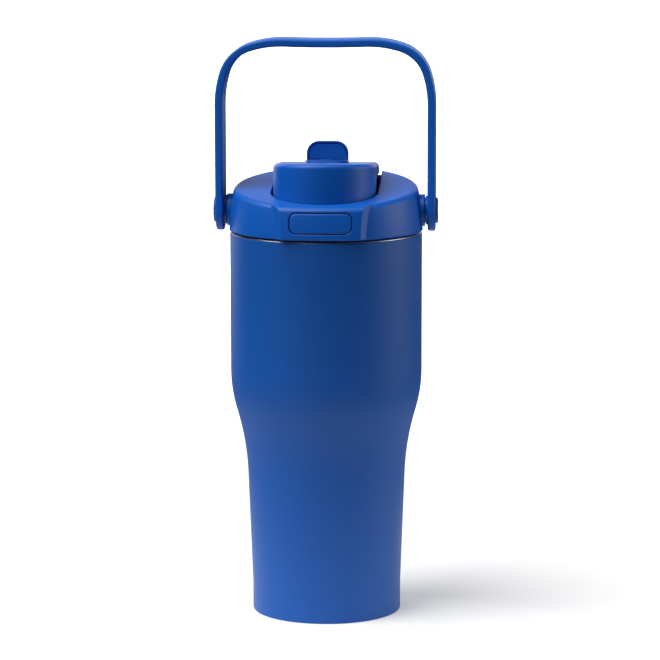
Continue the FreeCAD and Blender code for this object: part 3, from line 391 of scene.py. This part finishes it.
def turned_steel(name, tone, roughness):
    """Metal polished round the z axis: the noise is read at (distance from the axis, z),
    so it is long round the axis and fine across it."""
    material = bpy.data.materials.new(name)
    material.use_nodes = True
    tree = material.node_tree
    shader = tree.nodes["Principled BSDF"]
    shader.inputs["Metallic"].default_value = 1.0
    shader.inputs["Base Color"].default_value = (*tone, 1)
    spot = tree.nodes.new("ShaderNodeTexCoord")
    parts = tree.nodes.new("ShaderNodeSeparateXYZ")
    flat = tree.nodes.new("ShaderNodeCombineXYZ")
    radius = tree.nodes.new("ShaderNodeVectorMath")
    radius.operation = "LENGTH"
    rings = tree.nodes.new("ShaderNodeCombineXYZ")
    noise = tree.nodes.new("ShaderNodeTexNoise")
    noise.inputs["Scale"].default_value = RING_SCALE
    noise.inputs["Detail"].default_value = RING_DETAIL
    gloss = tree.nodes.new("ShaderNodeMapRange")
    gloss.inputs["To Min"].default_value = roughness + POLISH_SPREAD[0]
    gloss.inputs["To Max"].default_value = roughness + POLISH_SPREAD[1]
    lift = tree.nodes.new("ShaderNodeBump")
    lift.inputs["Strength"].default_value = RING_LIFT
    lift.inputs["Distance"].default_value = RING_RELIEF
    link(tree, (spot.outputs["Object"], parts.inputs[0]),
         (parts.outputs["X"], flat.inputs["X"]), (parts.outputs["Y"], flat.inputs["Y"]),
         (flat.outputs[0], radius.inputs[0]), (radius.outputs["Value"], rings.inputs["X"]),
         (parts.outputs["Z"], rings.inputs["Y"]), (rings.outputs[0], noise.inputs["Vector"]),
         (noise.outputs["Fac"], gloss.inputs["Value"]), (gloss.outputs[0], shader.inputs["Roughness"]),
         (noise.outputs["Fac"], lift.inputs["Height"]), (lift.outputs["Normal"], shader.inputs["Normal"]))
    return material


def dress(material, *names):
    """Puts the material on those CAD pieces."""
    for name in names:
        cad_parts[name].material_slots[0].material = material


dress(turned_steel("brushed_steel", (0.60, 0.60, 0.61), roughness=0.28),
      "inner_liner", "base_plate", "vacuum_seal")

# ---------------------------------------------------------------- lid collar, cap, flap and button
# Injection-moulded polypropylene coloured right through, with the satin skin of a fine
# spark-eroded mould. Cap and flap turn on steel pins, and the button slides in the collar.
# The four pieces come from one batch, so they share one finish.
dress(fine_finish("lid_plastic", (0.0012, 0.090, 0.44), roughness=0.44, grain=1900, relief=0.005 * mm,
                  specular=0.30, drift=0.04, seed=3.0, soften=1.1 * mm),
      "lid_collar", "cap_cover", "sip_flap", "latch_button")

# ---------------------------------------------------------------- plug, spout and cap frame
# The plug that screws into the neck, the drinking mouth and the cap's inner frame are the
# same plastic a shade deeper. Their moulds were only machined, so the skin is coarser.
dress(fine_finish("plug_plastic", (0.0012, 0.062, 0.30), roughness=0.48, grain=1200, relief=0.008 * mm,
                  specular=0.36, drift=0.06, seed=5.0),
      "lid_core", "drink_spout", "cap_frame")

# ---------------------------------------------------------------- gaskets, seals and grommets
# Silicone pressed in heated moulds, in a lighter blue than the lid: painted light, raised
# so the seal in the flap's shaded dish reads as light as the cap. The moulds are finely
# blasted, so it is matte. Each piece is held in its seat by its own stretch.
dress(fine_finish("silicone", (0.002, 0.140, 0.62), roughness=0.55, grain=900, relief=0.004 * mm,
                  specular=0.3, drift=0.03, seed=8.0),
      "lid_gasket", "spout_gasket", "straw_grommet", "spout_seal", "port_grommet", "flap_seal")

# ---------------------------------------------------------------- straw
# Extruded translucent polypropylene tube, cut square at the top and mitred at the foot.
# Drawing leaves it smooth with a soft gloss. A silicone sleeve grips it in the spout.
STRAW_CLEARNESS = 0.55
straw_plastic = fine_finish("straw_plastic", (0.70, 0.76, 0.84), roughness=0.3, grain=700,
                            relief=0.003 * mm, drift=0.02, seed=9.0)
straw_plastic.node_tree.nodes["Principled BSDF"].inputs["Transmission Weight"].default_value = STRAW_CLEARNESS
dress(straw_plastic, "straw")


# ---------------------------------------------------------------- pins and cap spring
# Centreless-ground stainless pins that carry the cap and the flap, and a torsion spring
# coiled from bright drawn wire round the hinge pin.
def bright_metal(name, tone, roughness):
    """Plain drawn or ground metal with a faint grain."""
    metal = fine_finish(name, tone, roughness, grain=1500, relief=0.003 * mm, drift=0.04, seed=11.0)
    metal.node_tree.nodes["Principled BSDF"].inputs["Metallic"].default_value = 1.0
    return metal


spring_wire = bright_metal("spring_steel", (0.48, 0.48, 0.50), roughness=0.32)
dress(bright_metal("pin_steel", (0.56, 0.56, 0.58), roughness=0.24), "hinge_pin", "flap_pin")
dress(spring_wire, "cap_spring")

# ---------------------------------------------------------------- latch springs
# Two short compression springs of drawn wire. Each presses on the back of the button at
# one end and stands on the lid at the other. On the real lid it shortens as the button goes
# in; this coil is drawn at its rest length.
SPRING_X = 11.5 * mm
SPRING_FRONT_Y = -45.05 * mm
SPRING_Z = 210.9 * mm
SPRING_R = 1.5 * mm
SPRING_PITCH = 1.25 * mm
SPRING_TURNS = 3.0
SPRING_STEPS = 120
WIRE_R = 0.25 * mm
WIRE_SIDES = 12


def coil(name, centre):
    """A helical tube along y. Its spine is (R cos t, pitch t / 2 pi, R sin t) for t in 0 to
    2 pi turns, and the wire's circle stands square to the spine."""
    t = np.linspace(0, 2 * math.pi * SPRING_TURNS, SPRING_STEPS)[:, None]
    a = np.linspace(0, 2 * math.pi, WIRE_SIDES, endpoint=False)[None, :]
    rise = SPRING_PITCH / (2 * math.pi)
    outward = np.stack((np.cos(t), 0 * t, np.sin(t)), -1)
    ahead = np.stack((-SPRING_R * np.sin(t), rise + 0 * t, SPRING_R * np.cos(t)), -1)
    ahead = ahead / np.linalg.norm(ahead, axis=-1, keepdims=True)
    spine = SPRING_R * outward + np.stack((0 * t, rise * t, 0 * t), -1) + np.array(centre)
    circle = np.cos(a)[..., None] * outward + np.sin(a)[..., None] * np.cross(ahead, outward)
    return surface(name, spine + WIRE_R * circle, ring=False)


for name, x in (("latch_spring_left", -SPRING_X), ("latch_spring_right", SPRING_X)):
    spring = coil(name, (x, SPRING_FRONT_Y, SPRING_Z))
    spring.data.materials.append(spring_wire)
    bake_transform(spring)
    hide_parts("latch_springs")

# ---------------------------------------------------------------- bail handle
# A nylon strap moulded to its arch, with a skin a touch rougher than the lid's. Its two
# lugs turn on flanged bushes held by the pins.
dress(fine_finish("handle_plastic", (0.0012, 0.096, 0.47), roughness=0.48, grain=1400, relief=0.007 * mm,
                  specular=0.32, drift=0.05, seed=14.0, soften=0.9 * mm),
      "bail_handle")

# ---------------------------------------------------------------- pivot pins, washers and bushes
# Turned acetal in the same blue, smoother and a little shinier from running against
# itself. The pins are pressed into the lid's bosses.
dress(fine_finish("bush_plastic", (0.0012, 0.076, 0.36), roughness=0.34, grain=1100, relief=0.004 * mm,
                  specular=0.42, drift=0.04, seed=17.0),
      "pivot_pins", "friction_washers", "pivot_bushes")
